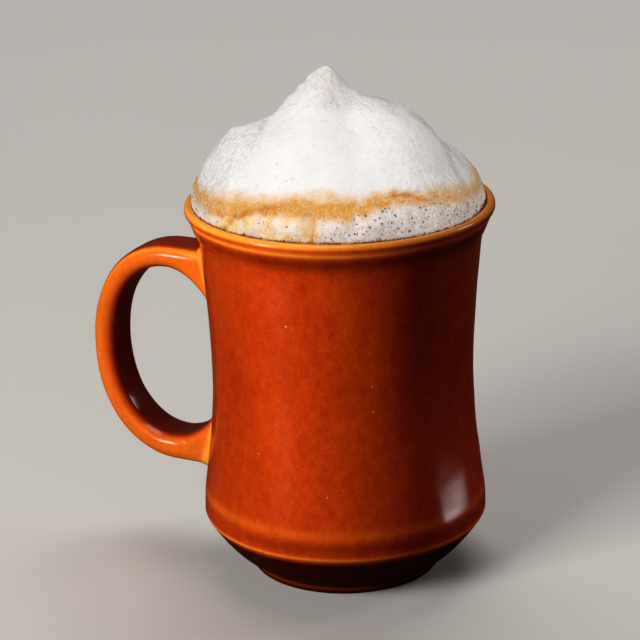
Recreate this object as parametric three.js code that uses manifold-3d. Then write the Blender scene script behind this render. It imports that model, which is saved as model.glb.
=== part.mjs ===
// A glazed stoneware mug filled with coffee under a tall head of milk foam.
// Millimetres, +Z up. The handle points along -X, and the origin is the bottom centre of the bounding box.
// Inside the functions the mug's own axis is the Z axis, and turns are degrees from +X, seen from above.

import * as THREE from 'three';
import { ParametricGeometry } from 'three/addons/geometries/ParametricGeometry.js';
import { mergeVertices } from 'three/addons/utils/BufferGeometryUtils.js';
import Module from 'manifold-3d';

const wasm = await Module();
wasm.setup();

// Mug body, with its profile's points as [radius, height]
const lip = { radius: 41.5, top: 103.8, inner: 39.3, round: 0.4, outward: 1.2, upward: 1.4 };
const wall = [
  [38.75, 19.5], [38.55, 22.4], [37.5, 30], [36.1, 43], [35.55, 56],
  [36, 70], [37, 84], [37.9, 93.5], [39.2, 97], [40.7, 100.7],
];
const ridge = { below: [38.5, 15.1], edge: [38.9, 15.6], above: [38.8, 16.6] };
const bevel = { low: [33, 7.2], high: [36.6, 12] };
const foot = { radius: 25.9, inner: 22.2, recess: 2.4, fillet: 1.6, edge: 0.5, draft: 0.3, neck: 2.2 };
const footStep = { corner: [26.8, 3.2], end: [28.5, 3.7] };
const cavity = { radius: 31.4, floor: 9, fillet: 9, flareStart: 74, flareEase: 86, lipEase: [35, 95] };

// Handle: its ear's edges are half superellipses in the XZ plane, and its section is a rounded rectangle
const handle = {
  wide: 14, rootWide: 17, rootEase: 3, cornerRadius: 2.5,
  earSquareness: 2.12, rootReach: 34.6,
  outer: { centre: 50.5, reach: 76.7, middle: 53.9, rise: 32 },
  inner: { centre: 52, reach: 70.1, middle: 54.4, rise: 24.6 },
  topRoot: { low: 66.5, corner: 44 },
  bottomRoot: { high: 43, corner: 42.5 },
};

// Fill levels and the clearance between neighbouring pieces
const coffeeLevel = 88;
const clearance = 0.3;
const foam = {
  seam: 103.2, edge: lip.inner - clearance, overhang: 0.8, blend: 1.5,
  reach: 60, precision: 0.01,
};

// Facets
const roundSteps = 60;
const curveSteps = 2;
const handleSteps = { root: 8, ear: 26 };
const cornerSteps = 4;
const foamRows = { top: 26, side: 4, bottom: 2 };

// Foam head: a smooth union of round lobes, each with a turn, a reach from the axis, a height and a radius
const shoulderLobes = [
  { turn: 210, reach: 18.6, height: 109.0, radius: 16.6 },
  { turn: 222, reach: 21.8, height: 105.0, radius: 14.6 },
  { turn: 269, reach: 10.7, height: 105.5, radius: 23.3 },
  { turn: 339, reach: 13.5, height: 104.0, radius: 22.0 },
  { turn: 14, reach: 9.2, height: 114.8, radius: 16.9 },
  { turn: 12, reach: 13.0, height: 107.6, radius: 18.0 },
  { turn: 41, reach: 21.0, height: 103.0, radius: 15.4 },
  { turn: 133, reach: 14.6, height: 105.0, radius: 21.0 },
];
const peak = {
  turn: 220, lobes: 9, taper: 0.92,
  base: { reach: 4.7, height: 113, radius: 16.7 },
  tip: { reach: 3, height: 138.4, radius: 1.2 },
};
const collar = { turn: 207, shift: 0.3, reach: 24.2, height: 101.4, radius: 15 };
const collarLumps = {
  reach: 33.2, height: 105, radius: 4.8,
  turns: [237, 260, 277, 295, 310, 321, 337, 351, 55, 92, 128, 160, 196],
};

const glaze = new THREE.MeshStandardMaterial({ color: 0x9c3a0c, roughness: 0.22, metalness: 0 });
const milkFoam = new THREE.MeshStandardMaterial({ color: 0xe9e2d8, roughness: 0.75, metalness: 0 });
const milkyCoffee = new THREE.MeshStandardMaterial({ color: 0x9b6a3f, roughness: 0.3, metalness: 0 });

function polar(turn, reach, height) {
  const angle = THREE.MathUtils.degToRad(turn);
  return new THREE.Vector3(reach * Math.cos(angle), reach * Math.sin(angle), height);
}

// Inside of the mug, from the lip's inner edge down to the middle of the floor
function cavityCurve() {
  const path = new THREE.Path();
  path.moveTo(lip.inner, lip.top - lip.round);
  path.bezierCurveTo(...cavity.lipEase, cavity.radius, cavity.flareEase, cavity.radius, cavity.flareStart);
  path.lineTo(cavity.radius, cavity.floor + cavity.fillet);
  const filletReach = cavity.radius - cavity.fillet;
  path.absarc(filletReach, cavity.floor + cavity.fillet, cavity.fillet, 0, -Math.PI / 2, true);
  path.lineTo(0, cavity.floor);
  return path.getPoints(curveSteps + 1);
}

const cavityPoints = cavityCurve();

// Radius of the mug's inside at a height between the floor and the lip
function cavityRadius(height) {
  if (height >= cavityPoints[0].y) return cavityPoints[0].x;
  const below = cavityPoints.findIndex((point) => point.y < height);
  const [upper, lower] = [cavityPoints[below - 1], cavityPoints[below]];
  return THREE.MathUtils.mapLinear(height, lower.y, upper.y, lower.x, upper.x);
}

// Outside of the mug, from the middle of the underside up to the top of the lip
function outsideCurve() {
  const path = new THREE.Path();
  const [lipReach, lipHeight] = [lip.radius - lip.outward, lip.top - lip.upward];
  path.moveTo(0, foot.recess);
  path.lineTo(foot.inner - foot.fillet, foot.recess);
  path.quadraticCurveTo(foot.inner, foot.recess, foot.inner + foot.draft, 0);
  path.lineTo(foot.radius - foot.edge, 0);
  path.quadraticCurveTo(foot.radius, 0, foot.radius, foot.edge);
  path.lineTo(foot.radius + foot.draft, foot.neck);
  path.quadraticCurveTo(...footStep.corner, ...footStep.end);
  path.bezierCurveTo(...bevel.low, ...bevel.high, ...ridge.below);
  path.quadraticCurveTo(...ridge.edge, ...ridge.above);
  path.splineThru(wall.map(([radius, height]) => new THREE.Vector2(radius, height)));
  path.absellipse(lipReach, lipHeight, lip.outward, lip.upward, -Math.PI / 3, 0);
  path.absellipse(lipReach, lipHeight, lip.outward, lip.upward, 0, Math.PI / 2);
  path.quadraticCurveTo(lip.inner, lip.top, lip.inner, lip.top - lip.round);
  return path.getPoints(curveSteps);
}

function mugBody() {
  const profile = [...outsideCurve(), ...cavityPoints.slice(1)];
  return new THREE.LatheGeometry(profile, roundSteps).rotateX(Math.PI / 2);
}

function signedPower(value, power) {
  return Math.sign(value) * Math.abs(value) ** power;
}

// One edge of the handle in the (reach, height) plane: the upper root, the ear, then the lower root
function handleEdge(ear, topRoot, bottomRoot) {
  const power = 2 / handle.earSquareness;
  const { root, ear: earSteps } = handleSteps;
  const points = [];
  for (let i = 0; i < root; i++) points.push(topRoot.getPoint(i / root));
  for (let i = 0; i <= earSteps; i++) {
    const angle = Math.PI / 2 - i / earSteps * Math.PI;
    const reach = ear.centre + (ear.reach - ear.centre) * Math.cos(angle) ** power;
    const height = ear.middle + ear.rise * signedPower(Math.sin(angle), power);
    points.push(new THREE.Vector2(reach, height));
  }
  for (let i = 1; i <= root; i++) points.push(bottomRoot.getPoint(i / root));
  return points;
}

function outerEdge() {
  const { centre, middle, rise } = handle.outer;
  const { rootReach } = handle;
  const top = new THREE.LineCurve(
    new THREE.Vector2(rootReach, middle + rise),
    new THREE.Vector2(centre, middle + rise),
  );
  const bottom = new THREE.LineCurve(
    new THREE.Vector2(centre, middle - rise),
    new THREE.Vector2(rootReach, middle - rise),
  );
  return handleEdge(handle.outer, top, bottom);
}

// Inside the ear a fillet runs from each arm into the wall
function innerEdge() {
  const { centre, middle, rise } = handle.inner;
  const { topRoot, bottomRoot, rootReach } = handle;
  const top = new THREE.QuadraticBezierCurve(
    new THREE.Vector2(rootReach, topRoot.low),
    new THREE.Vector2(topRoot.corner, middle + rise),
    new THREE.Vector2(centre, middle + rise),
  );
  const bottom = new THREE.QuadraticBezierCurve(
    new THREE.Vector2(centre, middle - rise),
    new THREE.Vector2(bottomRoot.corner, middle - rise),
    new THREE.Vector2(rootReach, bottomRoot.high),
  );
  return handleEdge(handle.inner, top, bottom);
}

const outerPoints = outerEdge();
const innerPoints = innerEdge();
const lastSection = outerPoints.length - 1;
const sectionPoints = 4 * (cornerSteps + 1);

// The handle's skin: u runs along the ear from the upper root to the lower, v round its section
function handlePoint(u, v, target) {
  const row = Math.round(u * (lastSection + 2)) - 1;
  const section = THREE.MathUtils.clamp(row, 0, lastSection);
  const [outer, inner] = [outerPoints[section], innerPoints[section]];
  const middle = outer.clone().add(inner).multiplyScalar(0.5);
  if (row !== section) {
    target.set(-middle.x, 0, middle.y);
    return;
  }
  const fromRoot = Math.min(section, lastSection - section) / handleSteps.root;
  const flare = Math.max(0, 1 - fromRoot) ** handle.rootEase;
  const wide = THREE.MathUtils.lerp(handle.wide, handle.rootWide, flare);
  const thick = outer.distanceTo(inner);
  const corner = handle.cornerRadius;
  const index = Math.round(v * sectionPoints) % sectionPoints;
  const quarter = Math.floor(index / (cornerSteps + 1));
  const angle = (quarter + (index % (cornerSteps + 1)) / cornerSteps) * Math.PI / 2;
  const outward = quarter === 0 || quarter === 3 ? 1 : -1;
  const sideways = quarter < 2 ? 1 : -1;
  const across = outward * (thick / 2 - corner) + corner * Math.cos(angle);
  const side = sideways * (wide / 2 - corner) + corner * Math.sin(angle);
  const along = outer.clone().sub(inner).normalize();
  target.set(-(middle.x + along.x * across), -side, middle.y + along.y * across);
}

function handleEar() {
  return new ParametricGeometry(handlePoint, lastSection + 2, sectionPoints);
}

function toManifold(geometry) {
  const bare = geometry.clone();
  bare.deleteAttribute('normal');
  bare.deleteAttribute('uv');
  const welded = mergeVertices(bare, 1e-4);
  return new wasm.Manifold(new wasm.Mesh({
    numProp: 3,
    vertProperties: new Float32Array(welded.attributes.position.array),
    triVerts: new Uint32Array(welded.index.array),
  }));
}

function toGeometry(solid) {
  const mesh = solid.getMesh();
  const geometry = new THREE.BufferGeometry();
  geometry.setAttribute('position', new THREE.BufferAttribute(mesh.vertProperties, 3));
  geometry.setIndex(new THREE.BufferAttribute(mesh.triVerts, 1));
  geometry.computeVertexNormals();
  return geometry;
}

function mugGeometry() {
  return toGeometry(toManifold(mugBody()).add(toManifold(handleEar())));
}

// The coffee follows the inside of the mug, held clear of it, and ends level under the foam
function coffeeGeometry() {
  const wetted = cavityPoints
    .map((point) => new THREE.Vector2(Math.max(point.x - clearance, 0), point.y + clearance))
    .filter((point) => point.y < coffeeLevel - 1);
  const edge = new THREE.Vector2(cavityRadius(coffeeLevel - clearance) - clearance, coffeeLevel);
  const profile = [new THREE.Vector2(0, coffeeLevel), edge, ...wetted].reverse();
  return new THREE.LatheGeometry(profile, roundSteps).rotateX(Math.PI / 2);
}

function foamLobes() {
  const lobes = shoulderLobes.map(({ turn, reach, height, radius }) => (
    { centre: polar(turn, reach, height), radius }
  ));
  for (let i = 0; i < peak.lobes; i++) {
    const t = i / (peak.lobes - 1);
    const reach = THREE.MathUtils.lerp(peak.base.reach, peak.tip.reach, t);
    const height = THREE.MathUtils.lerp(peak.base.height, peak.tip.height, t);
    const radius = THREE.MathUtils.lerp(peak.base.radius, peak.tip.radius, t ** peak.taper);
    lobes.push({ centre: polar(peak.turn, reach, height), radius });
  }
  for (const turn of collarLumps.turns) {
    lobes.push({ centre: polar(turn, collarLumps.reach, collarLumps.height), radius: collarLumps.radius });
  }
  return lobes;
}

const lobes = foamLobes();

const collarCentre = polar(collar.turn, collar.shift, collar.height);

// Distance outside the foam: the lobes and the collar ring blended, cut where the lip holds the foam in
function foamDistance(point) {
  const fromRing = Math.hypot(point.x - collarCentre.x, point.y - collarCentre.y) - collar.reach;
  const above = point.z - collar.height;
  const ring = Math.hypot(Math.max(fromRing, 0), above) - collar.radius;
  let sum = Math.exp(-ring / foam.blend);
  for (const { centre, radius } of lobes) {
    sum += Math.exp(-(point.distanceTo(centre) - radius) / foam.blend);
  }
  const overLip = THREE.MathUtils.clamp(point.z - lip.top, 0, foam.overhang);
  const held = Math.hypot(point.x, point.y) - foam.edge - overLip;
  return Math.max(-foam.blend * Math.log(sum), held);
}

const heart = polar(peak.turn, peak.tip.reach, foam.seam);

// Where a ray from the foam's heart leaves the foam
function foamSurface(direction) {
  let [inside, outside] = [0, foam.reach];
  while (outside - inside > foam.precision) {
    const middle = (inside + outside) / 2;
    const distance = foamDistance(heart.clone().addScaledVector(direction, middle));
    if (distance < 0) inside = middle;
    else outside = middle;
  }
  return heart.clone().addScaledVector(direction, inside);
}

// The foam's skin: u from the peak down to the lip, down the mug's inside and in under the foam, v round it
function foamPoint(u, v, target) {
  const { top, side, bottom } = foamRows;
  const row = Math.round(u * (top + side + bottom));
  const turn = v * 360;
  const rim = polar(turn, foam.edge, foam.seam);
  const outward = rim.clone().sub(heart).normalize();
  const tilt = Math.min(row / top, 1) * Math.PI / 2;
  if (row <= top) {
    const direction = new THREE.Vector3(0, 0, Math.cos(tilt)).addScaledVector(outward, Math.sin(tilt));
    target.copy(foamSurface(direction));
    return;
  }
  const bottomHeight = coffeeLevel + clearance;
  const edge = foamSurface(outward);
  const edgeRadius = Math.hypot(edge.x, edge.y);
  const depth = Math.min((row - top) / side, 1);
  const height = THREE.MathUtils.lerp(foam.seam, bottomHeight, depth);
  const inset = (cavityRadius(foam.seam) - clearance - edgeRadius) * (1 - depth) ** 2;
  const shrink = Math.max(0, (row - top - side) / bottom);
  target.copy(polar(turn, (cavityRadius(height) - clearance - inset) * (1 - shrink), height));
}

function foamGeometry() {
  const { top, side, bottom } = foamRows;
  return new ParametricGeometry(foamPoint, top + side + bottom, roundSteps);
}

function named(name, geometry, material) {
  const mesh = new THREE.Mesh(geometry, material);
  mesh.name = name;
  return mesh;
}

const group = new THREE.Group();
group.add(named('mug', mugGeometry(), glaze));
group.add(named('coffee', coffeeGeometry(), milkyCoffee));
group.add(named('foam', foamGeometry(), milkFoam));

// The bounding box runs from the handle's outer edge to the lip, so its middle lies off the mug's axis
group.position.x = (handle.outer.reach - lip.radius) / 2;

export default group;
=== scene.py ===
import math
import bpy
import numpy as np
from mathutils import Matrix, Vector
from mathutils.bvhtree import BVHTree
from mathutils.kdtree import KDTree


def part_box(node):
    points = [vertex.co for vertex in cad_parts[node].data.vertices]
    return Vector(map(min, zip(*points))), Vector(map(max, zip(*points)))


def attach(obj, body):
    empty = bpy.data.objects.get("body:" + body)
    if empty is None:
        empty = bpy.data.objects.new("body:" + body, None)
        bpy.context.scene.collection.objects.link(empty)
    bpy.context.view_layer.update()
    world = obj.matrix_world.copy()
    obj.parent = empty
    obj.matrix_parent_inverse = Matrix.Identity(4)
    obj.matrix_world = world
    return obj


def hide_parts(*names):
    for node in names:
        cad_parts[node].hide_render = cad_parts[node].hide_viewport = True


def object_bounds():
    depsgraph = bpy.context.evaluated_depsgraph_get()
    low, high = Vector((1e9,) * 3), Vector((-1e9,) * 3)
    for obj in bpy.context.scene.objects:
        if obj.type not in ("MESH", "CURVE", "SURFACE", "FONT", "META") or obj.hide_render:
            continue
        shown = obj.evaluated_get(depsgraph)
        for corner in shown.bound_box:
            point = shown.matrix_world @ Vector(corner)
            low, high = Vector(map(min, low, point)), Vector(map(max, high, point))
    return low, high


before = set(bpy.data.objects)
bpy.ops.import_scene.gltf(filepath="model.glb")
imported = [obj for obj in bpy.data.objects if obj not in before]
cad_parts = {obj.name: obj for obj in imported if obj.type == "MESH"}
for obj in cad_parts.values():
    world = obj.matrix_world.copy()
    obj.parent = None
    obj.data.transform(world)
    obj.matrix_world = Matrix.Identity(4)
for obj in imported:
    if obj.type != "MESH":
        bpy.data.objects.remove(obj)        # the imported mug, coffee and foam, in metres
cadLow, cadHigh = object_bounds()
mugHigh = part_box("mug")[1]
coffeeLow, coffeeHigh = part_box("coffee")
mugAxis = (coffeeLow.x + coffeeHigh.x) / 2
mugMiddle = np.array([mugAxis, 0, 0])
mm = 0.001

# Shapes are worked out in millimetres about the mug's own axis. The handle points along -X.
# Turns are degrees from +X, seen from above, and the camera stands at a turn of about 297.


def toFrame(points):
    return np.asarray(points, float) * mm + mugMiddle


def toMillimetres(mesh):
    points = np.empty(len(mesh.vertices) * 3)
    mesh.vertices.foreach_get("co", points)
    return (points.reshape(-1, 3) - mugMiddle) / mm


def setPoints(mesh, points):
    mesh.vertices.foreach_set("co", toFrame(points).ravel())
    mesh.update()


def vertexNormals(mesh):
    normals = np.empty(len(mesh.vertices) * 3)
    mesh.vertex_normals.foreach_get("vector", normals)
    return normals.reshape(-1, 3)


def makeMesh(name, points, faces):
    mesh = bpy.data.meshes.new(name)
    mesh.from_pydata(toFrame(points).tolist(), [], faces)
    mesh.shade_smooth()
    return mesh


def makeObject(name, data):
    piece = bpy.data.objects.new(name, data)
    bpy.context.scene.collection.objects.link(piece)
    return piece


def setAttribute(mesh, name, values):
    attribute = mesh.attributes.get(name) or mesh.attributes.new(name, "FLOAT", "POINT")
    attribute.data.foreach_set("value", np.asarray(values, np.float32))


def smoothStep(low, high, value):
    share = np.clip((value - low) / (high - low), 0, 1)
    return share * share * (3 - 2 * share)


def turnGap(turns, centre):
    return np.abs((turns - centre + 180) % 360 - 180)


def bell(value, centre, width):
    return np.exp(-((value - centre) / width) ** 2)


# A smooth random field with a spread of about one
def waves(points, wavelength, seed, count=28, span=(0.7, 1.4)):
    draw = np.random.default_rng(seed)
    ways = draw.normal(size=(count, 3))
    ways /= np.linalg.norm(ways, axis=1, keepdims=True)
    ways *= 2 * math.pi / (wavelength * draw.uniform(*span, (count, 1)))
    phases = draw.uniform(0, 2 * math.pi, count)
    return np.sin(points @ ways.T + phases).sum(1) / math.sqrt(count / 2)


def ringPoints(radius, turns, height):
    return np.stack([radius * np.cos(turns), radius * np.sin(turns), np.full(len(turns), height)], 1)


# Quads between equal rings of points, which start at the number given, and a fan at each end
def tubeFaces(first, rings, count, startPoint, endPoint):
    faces = []
    last = first + (rings - 1) * count
    for j in range(count):
        k = (j + 1) % count
        faces.append((startPoint, first + k, first + j))
        for low in range(first, last, count):
            faces.append((low + j, low + k, low + count + k, low + count + j))
        faces.append((last + j, last + k, endPoint))
    return faces


# Points of an arc of an ellipse, from one angle to another
def arc(middle, across, up, start, end, count):
    angle = np.radians(np.linspace(start, end, count))
    return np.stack([middle[0] + across * np.cos(angle), middle[1] + up * np.sin(angle)], 1)


# Points of a Bezier curve of any degree
def bezier(points, steps):
    t = np.linspace(0, 1, steps + 1)[:, None]
    rows = [np.asarray(point, float) + 0 * t for point in points]
    while len(rows) > 1:
        rows = [start + (end - start) * t for start, end in zip(rows, rows[1:])]
    return rows[0]


# Points of the smooth curve that passes through all of the given ones
def splineThrough(points, steps):
    points = np.asarray(points, float)
    padded = np.vstack([points[:1], points, points[-1:]])
    t = np.linspace(0, 1, steps, endpoint=False)[:, None]
    rows = []
    for before, start, end, after in zip(padded, padded[1:], padded[2:], padded[3:]):
        leave, arrive = (end - before) / 2, (after - start) / 2
        cubic = (2 * start - 2 * end + leave + arrive) * t ** 3
        square = (3 * end - 3 * start - 2 * leave - arrive) * t ** 2
        rows.append(cubic + square + leave * t + start)
    return np.vstack(rows + [points[-1:]])


# The mug's body, turned from its profile

mugShape = {
    "lipRadius": mugHigh.y / mm,
    "lipTop": mugHigh.z / mm,
    "lipInner": 39.3,
    "lipRound": 0.4,
    "lipOutward": 1.2,
    "lipUpward": 1.4,
    "wall": [
        (38.75, 19.5), (38.55, 22.4), (37.5, 30), (36.1, 43), (35.55, 56),
        (36, 70), (37, 84), (37.9, 93.5), (39.2, 97), (40.7, 100.7),
    ],
    "ridge": [(38.5, 15.1), (38.9, 15.6), (38.8, 16.6)],
    "bevel": [(33, 7.2), (36.6, 12)],
    "footStep": [(26.8, 3.2), (28.5, 3.7)],
    "footRadius": 25.9,
    "footInner": 22.2,
    "footRecess": 2.4,
    "footFillet": 1.6,
    "footEdge": 0.5,
    "footDraft": 0.3,      # how far each side of the foot's ring leans
    "footNeck": 2.2,
    "cavityRadius": 31.4,
    "cavityFloor": 9,
    "cavityFillet": 9,
    "flareStart": 74,
    "flareEase": 86,
    "lipEase": (35, 95),
    "ripple": 0.035,      # height of the fired glaze's slow waves
    "rippleLength": 17,
    "rippleFrom": (0, 6),      # they fade towards the foot and the lip
    "rippleTo": (97, 100),
    "turnStep": 1.6,      # degrees between the body's columns
    "rootTurnStep": 0.5,      # the same where the handle joins it
    "rootTurnSpan": 22,
}


def mugProfile(s):
    radius, floor, fillet = s["cavityRadius"], s["cavityFloor"], s["cavityFillet"]
    foot, recess = s["footRadius"], s["footRecess"]
    recessEdge = (s["footInner"] - s["footFillet"], recess)
    ringInner, ringOuter = (s["footInner"] + s["footDraft"], 0), (foot - s["footEdge"], 0)
    footSide, neck = (foot, s["footEdge"]), (foot + s["footDraft"], s["footNeck"])
    lipMiddle = (s["lipRadius"] - s["lipOutward"], s["lipTop"] - s["lipUpward"])
    lip = arc(lipMiddle, s["lipOutward"], s["lipUpward"], -60, 90, 21)
    innerEdge = (s["lipInner"], s["lipTop"] - s["lipRound"])
    rows = np.vstack([
        bezier([(0, recess), recessEdge], 5),
        bezier([recessEdge, (s["footInner"], recess), ringInner], 8),
        bezier([ringInner, ringOuter], 3),
        bezier([ringOuter, (foot, 0), footSide], 5),
        bezier([footSide, neck], 4),
        bezier([neck, *s["footStep"]], 8),
        bezier([s["footStep"][1], *s["bevel"], s["ridge"][0]], 22),
        bezier(s["ridge"], 8),
        splineThrough([s["ridge"][2], *s["wall"]], 11),
        lip,
        bezier([lip[-1], (s["lipInner"], s["lipTop"]), innerEdge], 6),
        bezier([innerEdge, s["lipEase"], (radius, s["flareEase"]), (radius, s["flareStart"])], 20),
        arc((radius - fillet, floor + fillet), fillet, fillet, 0, -90, 10),
        bezier([(radius - fillet, floor), (0, floor)], 3),
    ])
    apart = np.r_[True, np.linalg.norm(np.diff(rows, axis=0), axis=1) > 1e-6]
    return rows[apart]


def lathe(profile, turns):
    points = [(0, 0, profile[0][1])]
    for radius, height in profile[1:-1]:
        points += [(radius * math.cos(turn), radius * math.sin(turn), height) for turn in turns]
    points.append((0, 0, profile[-1][1]))
    return points, tubeFaces(1, len(profile) - 2, len(turns), 0, len(points) - 1)


def bodyTurns(shape):
    half = shape["rootTurnSpan"]
    fine = np.arange(180 - half, 180 + half, shape["rootTurnStep"])
    coarse = np.arange(180 + half, 540 - half, shape["turnStep"])
    return np.radians(np.r_[fine, coarse])


# The handle: an ear between half superellipses, with a rounded section that flares at the wall

handleShape = {
    "wide": 14,
    "rootWide": 17,
    "rootEase": 3,
    "padFlare": 2.6,      # how far each side flares out where the handle is pressed on to the wall
    "padEase": 1.25,
    "padReach": (1.7, 5.2),      # how long the flare is on the inner and the outer side
    "cornerRadius": 3.2,
    "crown": 0.3,
    "squareness": 2.12,
    "rootReach": 34.6,
    "outerCentre": 50.5,
    "outerReach": 76.7,
    "outerMiddle": 53.9,
    "outerRise": 32,
    "innerCentre": 52,
    "innerReach": 70.1,
    "innerMiddle": 54.4,
    "innerRise": 24.6,
    "topRoot": (66.5, 44),      # height at the wall and reach of the bend
    "bottomRoot": (43, 42.5),
    "rootSteps": 30,
    "earSteps": 96,
    "cornerSteps": 7,
    "flatSteps": 4,
}


def handleEdge(centre, reach, middle, rise, top, bottom, s):
    power = 2 / s["squareness"]      # a superellipse's, given by its cosine and sine
    angle = np.linspace(math.pi / 2, -math.pi / 2, s["earSteps"] + 1)
    across = centre + (reach - centre) * np.abs(np.cos(angle)) ** power
    up = middle + rise * np.sign(np.sin(angle)) * np.abs(np.sin(angle)) ** power
    ear = np.stack([across, up], 1)
    return np.vstack([bezier(top, s["rootSteps"])[:-1], ear, bezier(bottom, s["rootSteps"])[1:]])


def handleEdges(s):
    root = s["rootReach"]
    outer = s["outerCentre"], s["outerReach"], s["outerMiddle"], s["outerRise"]
    inner = s["innerCentre"], s["innerReach"], s["innerMiddle"], s["innerRise"]
    high, low = outer[2] + outer[3], outer[2] - outer[3]
    outerEdge = handleEdge(*outer, [(root, high), (outer[0], high)], [(outer[0], low), (root, low)], s)
    high, low = inner[2] + inner[3], inner[2] - inner[3]
    (topHeight, topBend), (bottomHeight, bottomBend) = s["topRoot"], s["bottomRoot"]
    top = [(root, topHeight), (topBend, high), (inner[0], high)]
    bottom = [(inner[0], low), (bottomBend, low), (root, bottomHeight)]
    return outerEdge, handleEdge(*inner, top, bottom, s)


# One rounded section as offsets (outward, sideways)
def handleSection(thick, wide, s):
    half = np.array([thick, wide]) / 2
    middles = np.array([(1, 1), (-1, 1), (-1, -1), (1, -1)]) * (half - s["cornerRadius"])
    loop = []
    for quarter, middle in enumerate(middles):
        radius, angle = s["cornerRadius"], 90 * quarter
        corner = arc(middle, radius, radius, angle, angle + 90, s["cornerSteps"] + 1)
        onward = middles[(quarter + 1) % 4] - middle
        loop += [*corner, *(corner[-1] + onward * step / s["flatSteps"] for step in range(1, s["flatSteps"]))]
    loop = np.array(loop)
    toCorner = (np.abs(loop) / half).min(1)
    return loop - np.sign(loop) * (s["crown"] * toCorner ** 2)[:, None]


# The handle's points and faces, and what marks each point: how far outward and sideways it faces, and the
# share of the pad that it stands on
def handleLoft(s, shape):
    outerEdge, innerEdge = handleEdges(s)
    rings = []
    for k, (outer, inner) in enumerate(zip(outerEdge, innerEdge)):
        middle = (outer + inner) / 2
        thick = np.linalg.norm(outer - inner)
        along = (outer - inner) / thick
        fromRoot = min(k, len(outerEdge) - 1 - k) / s["rootSteps"]
        wide = s["wide"] + (s["rootWide"] - s["wide"]) * max(0, 1 - fromRoot) ** s["rootEase"]
        section = handleSection(thick, wide, s)
        outward, sideways = section[:, 0] / (thick / 2), np.abs(section[:, 1]) / (wide / 2)
        across = middle + along * section[:, :1]
        ring = np.stack([-across[:, 0], -section[:, 1], across[:, 1]], 1)
        clear = np.hypot(ring[:, 0], ring[:, 1]) - wallRadius(ring[:, 2], shape)
        reach = np.interp(outward, (-1, 1), s["padReach"])
        pad = np.clip(1 - np.maximum(clear, 0) / reach, 0, 1) ** s["padEase"] * (fromRoot < 1)
        ring[:, 1] *= 1 + 2 * s["padFlare"] * pad * (0.6 + 0.4 * outward) / wide
        rings.append(np.column_stack([ring, outward, sideways, pad]))
    rows = np.vstack([*rings, rings[0].mean(0), rings[-1].mean(0)])
    faces = tubeFaces(0, len(rings), len(rings[0]), len(rows) - 2, len(rows) - 1)
    marks = dict(zip(("outward", "side", "pad"), rows[:, 3:].T))
    return rows[:, :3], [face[::-1] for face in faces], marks


def wallRadius(height, shape):
    profile = mugProfile(shape)
    outside = profile[5:int(profile[:, 1].argmax()) + 1]
    return np.interp(height, outside[:, 1], outside[:, 0])


def pointTree(points):
    tree = KDTree(len(points))
    for k, point in enumerate(points):
        tree.insert(point, k)
    tree.balance()
    return tree


def evaluatedMesh(piece):
    graph = bpy.context.evaluated_depsgraph_get()
    return bpy.data.meshes.new_from_object(piece.evaluated_get(graph), depsgraph=graph)


# Where the fired glaze runs thin over an edge or gathers in a hollow, and where shade and some light are
# painted into its colour
glazeBreaks = {
    # height, half width and strength of each line round the body
    "thin": [(15.6, 0.55, 0.72), (22.4, 1.5, 0.2), (100.9, 0.75, 0.95), (1.6, 0.4, 0.12)],
    # the lines at 98 and 18.7 are partly pooled glaze and partly painted shade, where the surface faces down
    # or away from the light
    "poolAndShade": [(98.0, 2.0, 0.62), (18.7, 1.9, 0.38), (3.3, 0.9, 0.9)],
    "under": (13.4, 15.0),      # painted shade: darker on all that faces down below the ridge
    "lipThin": (102.1, 103.3),      # heights between which it runs thin towards the lip's crest
    "lipShadeLine": (-0.05, 0.45),      # painted shade along the lip's inner edge, as steps out from the cavity
    "lipShadeLineFrom": (99, 101),
    "lipEdgeShade": 0.5,
    "handleSpace": (14, 15, 92),      # where the handle is sought: half a width, lowest and highest height
    "handleOff": 0.04,      # what stands out further from the wall than this is handle
    # on the handle, by how far outward a point faces: 1 on the outer face and -1 on the inner one
    "handleEdge": 1.3,
    "handleEdgeAt": (0.76, 0.24),      # the thinnest line, with its half width
    # the near face's lighter glaze is partly thinner glaze and partly painted light
    "handleFaceThinAndLit": 0.42,
    "handleFaceFrom": (-0.95, -0.45),
    # painted shade: it is darker on the flat outer and inner faces, away from the rounded sides
    "handleRound": (0.68, 0.92),
    "handleInsideShade": 0.9,
    "handleInsideFrom": 0.62,
    "handleOutsideShade": 0.6,
    "shadeBesideHandle": (62, 92),      # painted shade on the body within so many degrees of the handle
    "shadeBesideHandleStrength": 0.36,
    "jointPool": 0.55,      # width of the dark line round the handle's roots
    "jointReach": 4.0,
    "jointRange": (0.3, 0.9),      # the glaze is nowhere thin where that line is dark
    "wallDepth": 0.6,      # what lies deeper inside the mug's wall than this is its cavity or its foot
    "padFace": 1.0,
    "padFrom": (0.0, 0.12),
    "fillet": 0.8,
}


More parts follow.
